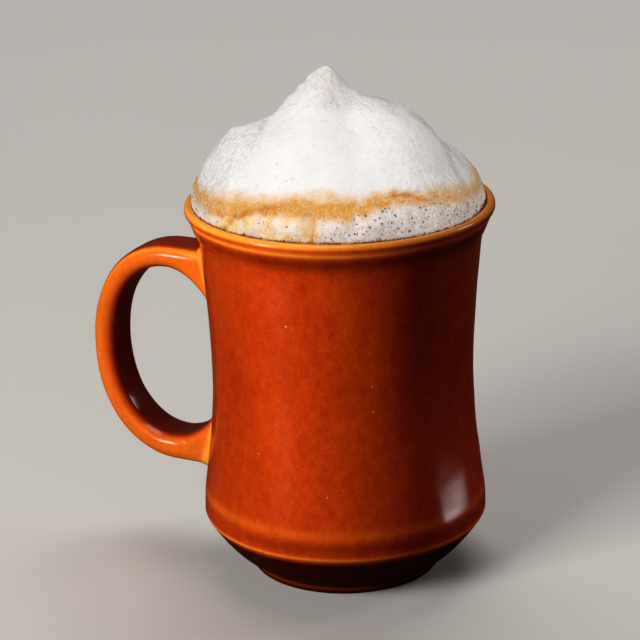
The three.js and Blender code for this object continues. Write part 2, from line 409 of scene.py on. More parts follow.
def glazeMasks(mesh, handle, breaks, shape):
    points = toMillimetres(mesh)
    handlePoints, handleFaces, marks = handle
    reach, height = np.hypot(points[:, 0], points[:, 1]), points[:, 2]
    off = reach - wallRadius(height, shape)
    half, low, high = breaks["handleSpace"]
    inSpace = (points[:, 0] < 0) & (np.abs(points[:, 1]) < half) & (height > low) & (height < high)
    onHandle = inSpace & (off > breaks["handleOff"])
    isOutside = (off > -breaks["wallDepth"]) & ~onHandle
    thin, poolAndShade = (
        np.max([strength * bell(height, at, width) * isOutside for at, width, strength in breaks[name]], 0)
        for name in ("thin", "poolAndShade")
    )
    fromHandle = turnGap(np.degrees(np.arctan2(points[:, 1], points[:, 0])), 180)
    # painted shade on the body beside the handle
    shadeBySide = breaks["shadeBesideHandleStrength"] * (1 - smoothStep(*breaks["shadeBesideHandle"], fromHandle))
    # painted shade on all that faces down below the ridge
    under = 1 - smoothStep(*breaks["under"], height)
    poolAndShade = np.maximum(poolAndShade, np.maximum(under, shadeBySide) * isOutside)
    # painted shade along the lip's inner edge, next to the foam
    start, end = breaks["lipShadeLine"]
    inside = 1 - smoothStep(shape["lipInner"] + start, shape["lipInner"] + end, reach)
    inside *= smoothStep(*breaks["lipShadeLineFrom"], height) * (off < 0.1)
    thin = np.maximum(thin, smoothStep(*breaks["lipThin"], height)) * (1 - inside)
    poolAndShade = np.maximum(poolAndShade, breaks["lipEdgeShade"] * inside)
    tree = pointTree(handlePoints)
    surface = BVHTree.FromPolygons([tuple(p) for p in handlePoints], handleFaces)
    joint = np.full(len(points), np.inf)
    pad = np.zeros(len(points))
    for k in np.flatnonzero(inSpace & (off > -0.5)):
        if onHandle[k]:
            nearest = tree.find(points[k])[1]
            outward = marks["outward"][nearest]
            rounded = smoothStep(*breaks["handleRound"], marks["side"][nearest])
            # the near face: partly thinner glaze, partly painted light
            face = breaks["handleFaceThinAndLit"] * smoothStep(*breaks["handleFaceFrom"], outward)
            thin[k] = max(breaks["handleEdge"] * bell(outward, *breaks["handleEdgeAt"]), face) * rounded
            inward = smoothStep(breaks["handleInsideFrom"], 1.0, -outward)
            # painted shade on the handle's inner face and flat outer faces
            poolAndShade[k] = max(breaks["handleInsideShade"] * inward, breaks["handleOutsideShade"] * (1 - rounded))
            pad[k] = marks["pad"][nearest]
            joint[k] = off[k]
        else:
            found = surface.find_nearest(points[k], breaks["jointReach"])
            if found[0] is not None:
                joint[k] = found[3]
    thin = np.clip(np.maximum(thin, breaks["padFace"] * smoothStep(*breaks["padFrom"], pad)), 0, 1)
    line = np.exp(-(joint / breaks["jointPool"]) ** 2)
    return thin * (1 - smoothStep(*breaks["jointRange"], line)), np.maximum(poolAndShade, line), joint


def buildMug(shape, handleSettings, breaks):
    profile = mugProfile(shape)
    bodyPoints, bodyFaces = lathe(profile, bodyTurns(shape))
    handle = handleLoft(handleSettings, shape)
    body = makeObject("mugBody", makeMesh("mugBody", bodyPoints, bodyFaces))
    ear = makeObject("mugEar", makeMesh("mugEar", *handle[:2]))
    union = body.modifiers.new("union", "BOOLEAN")
    union.operation = "UNION"
    union.solver = "EXACT"
    union.object = ear
    mesh = evaluatedMesh(body)
    mesh.name = "mugGlazed"
    for spare in (body, ear):
        bpy.data.objects.remove(spare)
    thin, poolAndShade, joint = glazeMasks(mesh, handle, breaks, shape)
    points = toMillimetres(mesh)
    height = points[:, 2]
    width = breaks["fillet"]
    lift = width / 4 * np.clip(1 - joint / width, 0, 1) ** 2
    ripple = shape["ripple"] * waves(points, shape["rippleLength"], 4)
    ripple *= smoothStep(*shape["rippleFrom"], height) * (1 - smoothStep(*shape["rippleTo"], height))
    setPoints(mesh, points + vertexNormals(mesh) * (lift + ripple)[:, None])
    setAttribute(mesh, "thin", thin)
    setAttribute(mesh, "poolAndShade", poolAndShade)
    mesh.shade_smooth()
    return makeObject("mugGlazed", mesh)


mugPiece = buildMug(mugShape, handleShape, glazeBreaks)
print("mug turned and handle joined:", len(mugPiece.data.polygons), "faces")


# The foam: the smooth union of round lobes, then lumps, bubbles and furrows on its skin

foamShape = {
    "lobes": [      # turn, reach from the axis, height and radius of each
        (210, 18.6, 109.0, 16.6), (222, 21.8, 105.0, 14.6), (269, 10.7, 105.5, 23.3),
        (339, 13.5, 104.0, 22.0), (14, 9.2, 114.8, 16.9), (12, 13.0, 107.6, 18.0),
        (41, 21.0, 103.0, 15.4), (133, 14.6, 105.0, 21.0),
    ],
    "peakTurn": 220,
    "peakLobes": 9,
    "peakTaper": 0.92,
    "peakBase": (4.7, 113, 16.7),      # reach, height and radius of its lowest and highest lobe
    "peakTip": (3, 138.4, 1.2),
    "collarTurn": 207,
    "collarShift": 0.3,
    "collarReach": 24.2,
    "collarHeight": 101.4,
    "collarRadius": 15,
    "lumpReach": 33.2,
    "lumpHeight": 105,
    "lumpRadius": 4.8,
    "lumpTurns": [237, 260, 277, 295, 310, 321, 337, 351, 55, 92, 128, 160, 196],
    "seam": 103.2,
    "edge": 39.3,
    "overhang": 0.8,
    "blend": 1.5,
    "bottom": coffeeHigh.z / mm + 0.3,
    "skirt": (0.12, 0.3, 0.55, 1.0),      # the hidden rings under the lip, as shares of the way down
    "intoWall": 0.15,
    "gridCells": 292,
    "rimDensity": 1.7,      # how much closer the skin's points lie near the lip, and up to where
    "rimFade": (112, 118),
    "rays": 60,      # longer than from the foam's heart to any point of its skin
    "halvings": 16,
    "tiltSteps": 160,
    "tiltTurns": 9,
    # wavelength, height and seed of each size of swelling
    "swellings": [(14.0, 0.12, 11), (6.0, 0.05, 12), (2.6, 0.022, 13)],
    "bubbleCount": 6800,      # bubbles of one millimetre that would cover the skin
    "bubbleDrift": 0.1,      # as a share of their width
    "bubbleLeast": 0.35,
    "bubbleEdge": 0.55,
    # width, height and seed of each size of bubble in the skin
    "bubbles": [(3.2, 0.12, 23), (1.8, 0.08, 21), (0.95, 0.05, 22)],
    # each size stands out in patches
    "patchLength": 9.0,
    "patchRange": (-0.9, 1.1),
    "patchSeed": 40,
    # where the bubbles stand out more: turn, half width, lower and upper height, how much more
    "rough": [(212, 34, 104, 126, 2.4), (10, 34, 104, 121, 0.9), (225, 180, 129, 150, 0.8)],
    "pull": (8, 24, 0.35),      # where the foam has drawn back from the lip: turn, half width, distance
    "pullHeight": 6,
    "foldAt": 2.2,      # how many widths beside a crease its fold lies
    # creases as a path of (turn, reach, height), with depth, width and the height of the fold beside it
    "creases": [
        ([(203, 18.8, 126.7), (214.8, 19.6, 126.4), (223.5, 21, 125.6), (227.8, 22.3, 124.8)], 0.8, 1.2, 0.0),
        ([(17, 28.5, 118.6), (11.3, 30.8, 116.3), (6.3, 33.2, 114), (5, 35.2, 111.6)], 0.45, 1.9, 0.05),
        ([(322, 34, 113.8), (327, 34.6, 113.2), (333, 34.8, 113.3)], 0.5, 0.8, 0.1),
        ([(250, 39, 105), (252, 38, 108.4), (258, 37, 110.4)], 0.35, 1.1, 0.1),
        ([(284, 39, 104.6), (286, 38.6, 107), (285, 37.4, 109.6)], 0.4, 1.2, 0.1),
        ([(303, 38.6, 107), (303, 37.5, 109.8)], 0.3, 1.0, 0.1),
        ([(326, 38.8, 106.6), (326, 38, 109)], 0.3, 1.0, 0.1),
    ],
    # lumps as (turn, reach, height), with how far each stands out and how wide it is
    "lumps": [
        ((302, 18.4, 126.4), -0.6, 5.5), ((262, 39, 106.3), 0.45, 2.2), ((270, 38.6, 107), 0.3, 2.0),
        ((278, 38.6, 107), 0.5, 2.4), ((295, 38.3, 108), 0.4, 2.4), ((311, 38.1, 108.6), 0.4, 2.8),
        ((348, 38.1, 108.6), 0.4, 2.6), ((344, 22, 124.5), 0.5, 4.5), ((268, 23, 123.5), 0.5, 4.0),
        ((0, 6, 132.9), 0.9, 3.0), ((8, 16, 130.2), -1.35, 4.5), ((262, 39, 105.5), 0.3, 1.6),
        ((211, 7.2, 137.4), 0.35, 1.2), ((212, 9.7, 135.1), 0.35, 1.2), ((212, 12.7, 132), 0.45, 1.5),
        ((211, 8.4, 136.3), -0.2, 0.7), ((212, 11.2, 133.6), -0.25, 0.8), ((249, 7, 137), -0.3, 1.6),
        ((207, 30.5, 120.4), 0.4, 2.2), ((208, 27, 123.2), 0.85, 2.5), ((208, 34.6, 115.2), 0.6, 2.6),
    ],
}


def polar(turn, reach, height):
    angle = math.radians(turn)
    return np.array([reach * math.cos(angle), reach * math.sin(angle), height])


def foamLobes(s):
    lobes = [(polar(turn, reach, height), radius) for turn, reach, height, radius in s["lobes"]]
    base, tip = np.array(s["peakBase"], float), np.array(s["peakTip"], float)
    for share in np.linspace(0, 1, s["peakLobes"]):
        reach, height, _ = base + (tip - base) * share
        radius = base[2] + (tip[2] - base[2]) * share ** s["peakTaper"]
        lobes.append((polar(s["peakTurn"], reach, height), radius))
    for turn in s["lumpTurns"]:
        lobes.append((polar(turn, s["lumpReach"], s["lumpHeight"]), s["lumpRadius"]))
    return lobes


# Below 0 inside the foam
def foamDistance(points, lobes, s):
    x, y, z = points.T
    middle = polar(s["collarTurn"], s["collarShift"], s["collarHeight"])
    fromRing = np.hypot(x - middle[0], y - middle[1]) - s["collarReach"]
    ring = np.hypot(np.maximum(fromRing, 0), z - s["collarHeight"]) - s["collarRadius"]
    total = np.exp(-ring / s["blend"])
    for centre, radius in lobes:
        total += np.exp(-(np.linalg.norm(points - centre, axis=1) - radius) / s["blend"])
    centre, half, distance = s["pull"]
    pull = distance * (1 - smoothStep(0, half, turnGap(np.degrees(np.arctan2(y, x)), centre)))
    above = z - s["lipTop"]
    pull *= 1 - smoothStep(0, s["pullHeight"], above)
    held = np.hypot(x, y) - s["edge"] - np.clip(above, 0, s["overhang"]) + pull
    return np.maximum(-s["blend"] * np.log(total), held)


# A square grid bent round, so that its cells stay even: reach from 0 to 1 and turn of each point
def roundGrid(count):
    side = np.linspace(-1, 1, count + 1)
    a, b = np.meshgrid(side, side, indexing="ij")
    wide = np.abs(a) > np.abs(b)
    reach = np.where(wide, a, b)
    safe = np.where(reach == 0, 1, reach)
    turn = np.where(wide, math.pi / 4 * b / safe, math.pi / 2 - math.pi / 4 * a / safe)
    return np.abs(reach).ravel(), np.arctan2(reach * np.sin(turn), reach * np.cos(turn)).ravel()


def foamRays(tilts, turns, heart, s):
    outward = ringPoints(s["edge"], turns, s["seam"]) - heart
    outward /= np.linalg.norm(outward, axis=1, keepdims=True)
    return np.cos(tilts)[:, None] * np.array([0, 0, 1]) + np.sin(tilts)[:, None] * outward


def foamSurface(rays, heart, lobes, s):
    inside, outside = np.zeros(len(rays)), np.full(len(rays), float(s["rays"]))
    for _ in range(s["halvings"]):
        middle = (inside + outside) / 2
        within = foamDistance(heart + rays * middle[:, None], lobes, s) < 0
        inside, outside = np.where(within, middle, inside), np.where(within, outside, middle)
    return heart + rays * inside[:, None]


# Tilts that spread the skin's points evenly, and closer together near the lip
def evenTilts(heart, lobes, s):
    tilts = np.linspace(0, math.pi / 2, s["tiltSteps"])
    turns = np.radians(np.arange(0, 360, s["tiltTurns"]))
    rays = foamRays(np.repeat(tilts, len(turns)), np.tile(turns, len(tilts)), heart, s)
    grid = foamSurface(rays, heart, lobes, s).reshape(len(tilts), len(turns), 3)
    step = np.linalg.norm(np.diff(grid, axis=0), axis=2)
    reach = np.hypot(grid[1:, :, 0] - heart[0], grid[1:, :, 1] - heart[1])
    close = 1 + (s["rimDensity"] - 1) * (1 - smoothStep(*s["rimFade"], grid[1:, :, 2]))
    area = np.r_[0, np.cumsum((step * reach * close).mean(1))]
    return tilts, area / area[-1]


def cavityRadius(height, shape):
    profile = mugProfile(shape)
    inner = profile[int(profile[:, 1].argmax()):]
    return np.interp(height, inner[::-1, 1], inner[::-1, 0])


# The foam's skin as a bent grid, and under its edge the rings that go down inside the mug
def foamGrid(s, lobes, shape):
    heart = polar(s["peakTurn"], s["peakTip"][0], s["seam"])
    reach, turns = roundGrid(s["gridCells"])
    tilts, area = evenTilts(heart, lobes, s)
    skin = foamSurface(foamRays(np.interp(reach ** 2, area, tilts), turns, heart, s), heart, lobes, s)
    count = s["gridCells"]
    number = np.arange((count + 1) ** 2).reshape(count + 1, count + 1)
    corners = number[:-1, :-1], number[1:, :-1], number[1:, 1:], number[:-1, 1:]
    faces = np.stack([corner.ravel() for corner in corners], 1).tolist()
    upper = np.concatenate([number[:-1, 0], number[-1, :-1], number[:0:-1, -1], number[0, :0:-1]]).tolist()
    angle = np.arctan2(skin[upper, 1], skin[upper, 0])
    points = [skin]
    start = len(skin)
    for share in s["skirt"]:
        height = s["seam"] + (s["bottom"] - s["seam"]) * share ** 2
        points.append(ringPoints(cavityRadius(height, shape) + s["intoWall"], angle, height))
        lower = list(range(start, start + len(upper)))
        faces += zip(lower, lower[1:] + lower[:1], upper[1:] + upper[:1], upper)
        upper = lower
        start += len(upper)
    points.append([(0, 0, s["bottom"])])
    faces += [(start, after, point) for point, after in zip(upper, upper[1:] + upper[:1])]
    return np.vstack(points), faces, len(skin)


def pathDistance(points, path):
    nearest = np.linalg.norm(points - path[0], axis=1)
    for start, end in zip(path, path[1:]):
        along = end - start
        share = np.clip((points - start) @ along / (along @ along), 0, 1)
        nearest = np.minimum(nearest, np.linalg.norm(points - start - share[:, None] * along, axis=1))
    return nearest


# 0 in the creases between bubbles, and up to 1 on top of each
def bubbleCells(points, s, width, seed):
    draw = np.random.default_rng(seed)
    count = min(int(s["bubbleCount"] / width ** 2), len(points))
    chosen = draw.choice(len(points), count, replace=False)
    seeds = points[chosen] + draw.normal(0, width * s["bubbleDrift"], (count, 3))
    tree = pointTree(seeds)
    cells = np.zeros(len(points))
    sizes = draw.uniform(s["bubbleLeast"], 1, count)
    for k, point in enumerate(points):
        (_, owner, near), (_, _, far) = tree.find_n(point, 2)
        cells[k] = sizes[owner] * min(1, (far - near) / (s["bubbleEdge"] * width))
    return np.sqrt(cells)


# Where coffee has soaked into the foam: turn, lower and upper height of the tan band
stainShape = {
    "band": [
        (218, 107.2, 110.2), (232, 106.8, 110.9), (240, 106.4, 111.4), (247, 106.3, 111.9),
        (254, 107.8, 112.3), (262, 109.0, 112.9), (275, 109.9, 113.7), (284, 109.7, 114.4),
        (292, 109.5, 114.4), (300, 109.7, 113.9), (305, 109.7, 113.4), (311, 111.2, 114.0),
        (321, 112.0, 114.9), (331, 110.6, 113.5), (338, 110.4, 113.6), (346, 109.5, 113.3),
        (357, 108.3, 112.3), (6, 107.8, 111.2), (17, 107.4, 110.4), (32, 107.8, 112.8), (58, 107.4, 112.2),
        (90, 108.4, 113.0), (126, 106.8, 112.0), (160, 108.2, 113.4), (190, 106.9, 111.6),
    ],
    "upperFade": 3.0,
    "upperShare": 0.6,      # of the band's height, which its upper fade never exceeds
    "upperRange": (0.8, 0.9),
    "lowerFade": 1.2,
    "underFade": 1.2,
    # how far waves shift the stain's heights and its runs, with the wavelength and seed of each
    "warp": 0.25,
    "warpWaves": ((5.0, 31), (2.0, 32)),
    "drift": 0.25,
    "driftWave": (4.0, 33),
    # its strength is uneven: the middle and the spread, and the waves in the cream and the streaks
    "mottle": (0.85, 0.2),
    "creamWave": (3.2, 34),
    "deepWave": (3.0, 35),
    "core": (0.3, 0.32, 0.42),      # the band's darker core: strength, middle and half width in its height
    # runs from the band down to the lip, as a path of (turn, height), with half width and strength
    "runs": [
        ([(252, 108.5), (250, 106.5), (247.5, 103.5)], 1.3, 0.85),
        ([(285.3, 111), (287.3, 108.4), (286, 103.5)], 1.4, 0.85),
        ([(258, 109), (259, 107)], 0.9, 0.5), ([(269, 110), (269.5, 107.4)], 0.8, 0.55),
        ([(299, 110.4), (300, 108.6)], 0.9, 0.5), ([(337, 111.4), (339, 109.6)], 0.8, 0.6),
        ([(344, 111), (345, 108.8)], 0.7, 0.6), ([(100, 111), (101, 103.5)], 1.4, 0.8),
        ([(182, 110), (181, 103.5)], 1.3, 0.8),
    ],
    # the darkest streaks, given in the same way
    "streaks": [
        ([(240, 108.8), (244, 107.6), (246, 106.8)], 0.9, 0.55),
        ([(247, 103.6), (249.1, 105), (250.3, 106.7), (251.6, 108.4)], 0.55, 0.6),
        ([(251.8, 107.8), (254, 108.4), (258, 109.3), (261.5, 110.2), (265, 110.8), (270, 111.4)], 1.0, 1.0),
        ([(270, 111.4), (278, 111.9), (286, 111.8), (293, 111.5), (302, 112)], 1.2, 0.45),
        ([(306, 112.2), (311, 112.7), (317, 113.4), (322, 114)], 0.8, 0.4),
        ([(285.3, 112), (286.8, 110.3), (287.5, 108.4), (286.5, 106.2), (285.4, 104.7)], 0.75, 0.55),
        ([(319, 113.5), (325, 113.5), (332, 112.1), (341, 111.8)], 0.45, 0.9),
        ([(338, 110.6), (339, 110)], 0.4, 0.9), ([(344, 109.6), (345, 109)], 0.4, 0.9),
        ([(62, 109.6), (76, 110.4), (96, 110.9)], 1.1, 0.8), ([(188, 108.4), (204, 108.9)], 0.9, 0.7),
        ([(128, 109.2), (146, 110.4), (164, 110.8)], 1.1, 0.8),
    ],
    "perDegree": 0.64,      # millimetres along the skin for each degree of turn
    # how much coffee the band holds at each turn
    "strength": [
        (200, 0.8), (228, 0.9), (250, 1.0), (312, 1.0), (330, 0.85), (352, 0.74), (20, 0.7), (90, 0.85),
        (160, 0.9),
    ],
    # turn, half width and strength of the creamy stretches below the band
    "cream": [(263, 25, 1.0), (140, 30, 0.8)],
    "creamEdge": (0.8, 1.1),
    # white lumps in them as (turn, height), with half width
    "whites": [
        ((257.8, 106.6), 1.0), ((262.3, 105.6), 1.2), ((265.2, 107), 0.9), ((272, 108.8), 0.8),
        ((274, 107.2), 1.1), ((279.5, 107.8), 1.2), ((275, 105.4), 0.9), ((238, 106.6), 1.1),
        ((242, 105.2), 0.8), ((132, 106.4), 1.3), ((139, 105.6), 1.1), ((147, 107), 1.2), ((154, 105.8), 1.0),
    ],
    "whiteness": 0.85,
    "poreEdge": (-0.5, 1.5),      # open pores end at the band, and cream and runs close most of them
    "creamSpread": 1.2,
    "creamCloses": 0.93,
    "runsClose": 0.8,
    "poresFrom": 0.2,
    "seamLine": (0.1, 1.15),      # the dark line of bubbles at the lip, partly painted shade in the crevice there, from full to none
    "seamWaver": 0.12,
    "seamWave": (2.2, 36),
    "smooth": (282, 30, 52),      # the front's finest foam: turn, half width of its middle and of the whole
    "smoothing": 0.7,
    "smoothFrom": (112, 115),
    "smoothTo": (128, 133),
    # pinkish grey painted shade where the foam turns away from the light, as paths of (turn, reach, height)
    "paintedShades": [
        ([
            (24, 9, 132.5), (20, 12, 131.3), (18, 16, 129.6), (18, 19, 128), (20, 22, 125.5), (24, 26, 121.5),
            (22, 29, 118.5),
        ], 2.4, 0.85),
        ([(16, 29.3, 117.8), (11.3, 30.8, 116.3), (6.3, 33.2, 114), (5, 35, 111.8)], 1.6, 0.7),
        ([(21, 32.5, 114.6), (18.6, 35.4, 111.2)], 3.0, 0.45), ([(275, 11, 132.5)], 3.0, 0.2),
        ([(225, 4, 139.5), (262, 5, 137), (290, 9, 134)], 4.8, 0.42),
        ([(207, 18.9, 126.7), (216, 19.9, 126.2), (224, 21.2, 125.4)], 0.8, 0.5),
    ],
}


def periodic(turns, knots, column):
    knots = sorted(knots)
    at = np.array([knot[0] for knot in knots], float)
    value = np.array([knot[column] for knot in knots], float)
    at = np.r_[at[-1] - 360, at, at[0] + 360]
    value = np.r_[value[-1], value, value[0]]
    return np.interp(turns % 360, at, value)


# The strongest of some runs, each a path of (turn, height) with its half width and strength
def runMask(runs, turns, heights, drift, stain):
    strongest = np.zeros(len(turns))
    for path, half, strength in runs:
        path = np.array(path, float)
        middle = path[:, 0].mean()
        unrolled = (turns - middle + 180) % 360 - 180 + middle
        flat = np.stack([unrolled * stain["perDegree"], heights], 1)
        away = pathDistance(flat, path * [stain["perDegree"], 1]) + drift
        strongest = np.maximum(strongest, strength * bell(away, 0, half))
    return strongest


def roughPatches(points, s):
    turns = np.degrees(np.arctan2(points[:, 1], points[:, 0]))
    rough = np.ones(len(points))
    for centre, half, low, high, more in s["rough"]:
        within = smoothStep(low, low + 3, points[:, 2]) * (1 - smoothStep(high - 4, high, points[:, 2]))
        rough += more * within * (1 - smoothStep(half * 0.6, half, turnGap(turns, centre)))
    return rough


def foamMasks(points, s, stain):
    x, y, z = points.T
    turns = np.degrees(np.arctan2(y, x)) % 360
    low, high = periodic(turns, stain["band"], 1), periodic(turns, stain["band"], 2)
    wide, narrow = (waves(points, *wave) for wave in stain["warpWaves"])
    z = z + stain["warp"] * (wide + 0.5 * narrow)
    drift = stain["drift"] * waves(points, *stain["driftWave"])
    fade = np.minimum(stain["upperFade"], stain["upperShare"] * (high - low))
    start, end = stain["upperRange"]
    band = 1 - smoothStep(high - fade * start, high + fade * end, z)
    band *= smoothStep(low - stain["lowerFade"], low + stain["lowerFade"], z)
    under = 1 - smoothStep(low - stain["underFade"], low + stain["underFade"], z)
    runs = runMask(stain["runs"], turns, z, drift, stain)
    start, end = stain["creamEdge"]
    cream = np.max([
        strength * (1 - smoothStep(half * start, half * end, turnGap(turns, centre)))
        for centre, half, strength in stain["cream"]
    ], 0)
    lumpy = runMask([([place], half, 1.0) for place, half in stain["whites"]], turns, z, drift, stain)
    even, uneven = stain["mottle"]
    mottled = np.clip(even + uneven * waves(points, *stain["creamWave"]), 0, 1)
    golden = under * cream * mottled * (1 - stain["whiteness"] * lumpy)
    strength, middle, half = stain["core"]
    darker = strength * bell(z, low + middle * (high - low), half * (high - low)) * band
    deep = np.maximum(darker, runMask(stain["streaks"], turns, z, drift, stain))
    start, end = stain["poreEdge"]
    closed = stain["creamCloses"] * np.clip(stain["creamSpread"] * cream, 0, 1)
    pores = (1 - smoothStep(low + start, low + end, z)) * (1 - closed)
    pores = pores * (1 - stain["runsClose"] * runs) * (z > s["seam"] + stain["poresFrom"])
    overSeam = points[:, 2] - s["seam"] + stain["seamWaver"] * waves(points, *stain["seamWave"])
    centre, inner, outer = stain["smooth"]
    smooth = (1 - smoothStep(inner, outer, turnGap(turns, centre))) * smoothStep(*stain["smoothFrom"], z)
    smooth *= 1 - smoothStep(*stain["smoothTo"], z)
    # painted shade on the foam's peak, fold and notch
    paintedShade = np.max([
        strength * bell(pathDistance(points, [polar(*knot) for knot in path]), 0, half)
        for path, half, strength in stain["paintedShades"]
    ], 0)
    seam = 1 - smoothStep(*stain["seamLine"], overSeam)
    return {
        "tan": np.maximum(band * periodic(turns, stain["strength"], 1), runs),
        "deep": np.clip(deep * (even + uneven * waves(points, *stain["deepWave"])), 0, 1),
        "cream": golden, "pores": pores, "seam": seam, "fringe": seam.copy(), "paintedShade": paintedShade,
        "grain": (1 - stain["smoothing"] * smooth) * roughPatches(points, s),
    }


def buildFoam(s, stain, shape):
    s["lipTop"] = shape["lipTop"]
    lobes = foamLobes(s)
    points, faces, skinCount = foamGrid(s, lobes, shape)
    mesh = makeMesh("foamHead", points, faces)
    skin = points[:skinCount]
    lift = sum(height * waves(skin, wavelength, seed) for wavelength, height, seed in s["swellings"])
    rough = roughPatches(skin, s)
    for width, height, seed in s["bubbles"]:
        patches = smoothStep(*s["patchRange"], waves(skin, s["patchLength"], seed + s["patchSeed"]))
        lift += height * patches * rough * (bubbleCells(skin, s, width, seed) - 0.5)
    for path, depth, width, fold in s["creases"]:
        away = pathDistance(skin, [polar(*knot) for knot in path])
        lift += fold * bell(away, s["foldAt"] * width, width) - depth * bell(away, 0, width)
    for place, height, width in s["lumps"]:
        away = np.linalg.norm(skin - polar(*place), axis=1)
        lift += height * bell(away, 0, width)
    lift *= smoothStep(s["seam"], s["seam"] + 2.0, skin[:, 2])
    points[:skinCount] += vertexNormals(mesh)[:skinCount] * lift[:, None]
    points[:, 2] = np.minimum(points[:, 2], cadHigh.z / mm)
    setPoints(mesh, points)
    for name, values in foamMasks(points, s, stain).items():
        values[skinCount:] = 1.0 if name == "seam" else 0.0      # no bubbles stand on the hidden underside
        setAttribute(mesh, name, values)
    return makeObject("foamHead", mesh)


foamPiece = buildFoam(foamShape, stainShape, mugShape)
print("foam raised:", len(foamPiece.data.polygons), "faces")


# Nodes, for the scattered bubbles and for the materials

def setSockets(tree, node, sockets):
    for name, value in sockets.items():
        socket = node.inputs[name]
        if isinstance(value, bpy.types.NodeSocket):
            tree.links.new(value, socket)
        else:
            socket.default_value = (*value, 1) if socket.type == "RGBA" else value


def addNode(tree, kind, sockets=None, **settings):
    node = tree.nodes.new(kind)
    for name, value in settings.items():
        setattr(node, name, value)
    setSockets(tree, node, sockets or {})
    return node


def addMath(tree, operation, first, second, clamp=False):
    sockets = {0: first, 1: second}
    return addNode(tree, "ShaderNodeMath", sockets, operation=operation, use_clamp=clamp).outputs["Value"]


def multiply(tree, first, second, clamp=False):
    return addMath(tree, "MULTIPLY", first, second, clamp)


# The sum of some values, each times its part
def blend(tree, values, parts):
    total = multiply(tree, values[0], parts[0])
    for value, part in zip(values[1:], parts[1:]):
        total = addMath(tree, "ADD", total, multiply(tree, value, part))
    return total


def mapRange(tree, value, low, high, newLow=0.0, newHigh=1.0):
    return addNode(tree, "ShaderNodeMapRange", {
        "Value": value, "From Min": low, "From Max": high, "To Min": newLow, "To Max": newHigh,
    }).outputs["Result"]


# An empty node group with inputs given as name and kind, and its one output
def startGroup(name, treeKind, inputs, output, kind):
    group = bpy.data.node_groups.new(name, treeKind)
    for inputName, inputKind in inputs.items():
        group.interface.new_socket(inputName, in_out="INPUT", socket_type="NodeSocket" + inputKind)
    group.interface.new_socket(output, in_out="OUTPUT", socket_type="NodeSocket" + kind)
    return group, group.nodes.new("NodeGroupInput").outputs, group.nodes.new("NodeGroupOutput").inputs[output]


# Open pores and standing bubbles, scattered over the foam's skin by Geometry Nodes

poreSettings = {
    "Mask": "pores", "Density": 0.75e6, "Radius Low": 0.05 * mm, "Radius High": 0.34 * mm,
    "Rarity": 4.5, "Sink": 0.35, "Seed": 3,
}
seamSettings = {
    "Mask": "fringe", "Density": 13.0e6, "Radius Low": 0.09 * mm, "Radius High": 0.28 * mm,
    "Rarity": 3.0, "Sink": 0.2, "Seed": 5,
}
pearlSettings = {
    "Mask": "pearls", "Density": 0.6e6, "Radius Low": 0.08 * mm, "Radius High": 0.34 * mm,
    "Rarity": 4.0, "Sink": 0.35, "Seed": 7,
}


# Pale bubbles stand in patches, none of them at the lip and fewer high up
pearlPatches = {
    "length": 8.0, "seed": 51, "range": (-0.2, 1.6), "least": 0.35, "lip": (104.5, 106),
    "high": (116, 124), "fewer": 0.6,
}


def pearlMask(points, s):
    height = points[:, 2]
    patches = smoothStep(*s["range"], waves(points, s["length"], s["seed"]))
    patches = s["least"] + (1 - s["least"]) * patches
    return smoothStep(*s["lip"], height) * patches * (1 - s["fewer"] * smoothStep(*s["high"], height))


def bubbleTree():
    tree, given, result = startGroup("scatterBubbles", "GeometryNodeTree", {
        "Skin": "Geometry", "Mask": "String", "Density": "Float", "Radius Low": "Float",
        "Radius High": "Float", "Rarity": "Float", "Sink": "Float", "Seed": "Int", "Finish": "Material",
    }, "Bubbles", "Geometry")
    mask = addNode(tree, "GeometryNodeInputNamedAttribute", {"Name": given["Mask"]})
    spread = addNode(tree, "GeometryNodeDistributePointsOnFaces", {
        "Mesh": given["Skin"], "Seed": given["Seed"],
        "Density": multiply(tree, mask.outputs["Attribute"], given["Density"]),
    })
    chance = addNode(tree, "FunctionNodeRandomValue", {"Seed": given["Seed"]}).outputs[1]
    rare = addMath(tree, "POWER", chance, given["Rarity"])
    size = mapRange(tree, rare, 0.0, 1.0, given["Radius Low"], given["Radius High"])
    sunk = multiply(tree, multiply(tree, size, given["Sink"]), -1.0)
    inward = {0: spread.outputs["Normal"], "Scale": sunk}
    placed = addNode(tree, "GeometryNodeSetPosition", {
        "Geometry": spread.outputs["Points"],
        "Offset": addNode(tree, "ShaderNodeVectorMath", inward, operation="SCALE").outputs["Vector"],
    })
    ball = addNode(tree, "GeometryNodeMeshUVSphere", {"Segments": 8, "Rings": 5, "Radius": 1.0})
    stood = addNode(tree, "GeometryNodeInstanceOnPoints", {
        "Points": placed.outputs["Geometry"], "Instance": ball.outputs["Mesh"],
        "Rotation": spread.outputs["Rotation"], "Scale": size,
    })
    real = addNode(tree, "GeometryNodeRealizeInstances", {"Geometry": stood.outputs["Instances"]})
    smooth = addNode(tree, "GeometryNodeSetShadeSmooth", {0: real.outputs["Geometry"]})
    done = addNode(tree, "GeometryNodeSetMaterial", {0: smooth.outputs[0], "Material": given["Finish"]})
    tree.links.new(done.outputs[0], result)
    return tree


def scatter(name, skin, tree, settings, material):
    carrier = makeObject(name + "Carrier", skin.data)
    modifier = carrier.modifiers.new("scatter", "NODES")
    modifier.node_group = tree
    sockets = {item.name: item.identifier for item in tree.interface.items_tree if item.in_out == "INPUT"}
    for key, value in {**settings, "Finish": material}.items():
        modifier[sockets[key]] = value
    mesh = evaluatedMesh(carrier)
    mesh.name = name
    bpy.data.objects.remove(carrier)
    return makeObject(name, mesh)


# Effects that several materials use

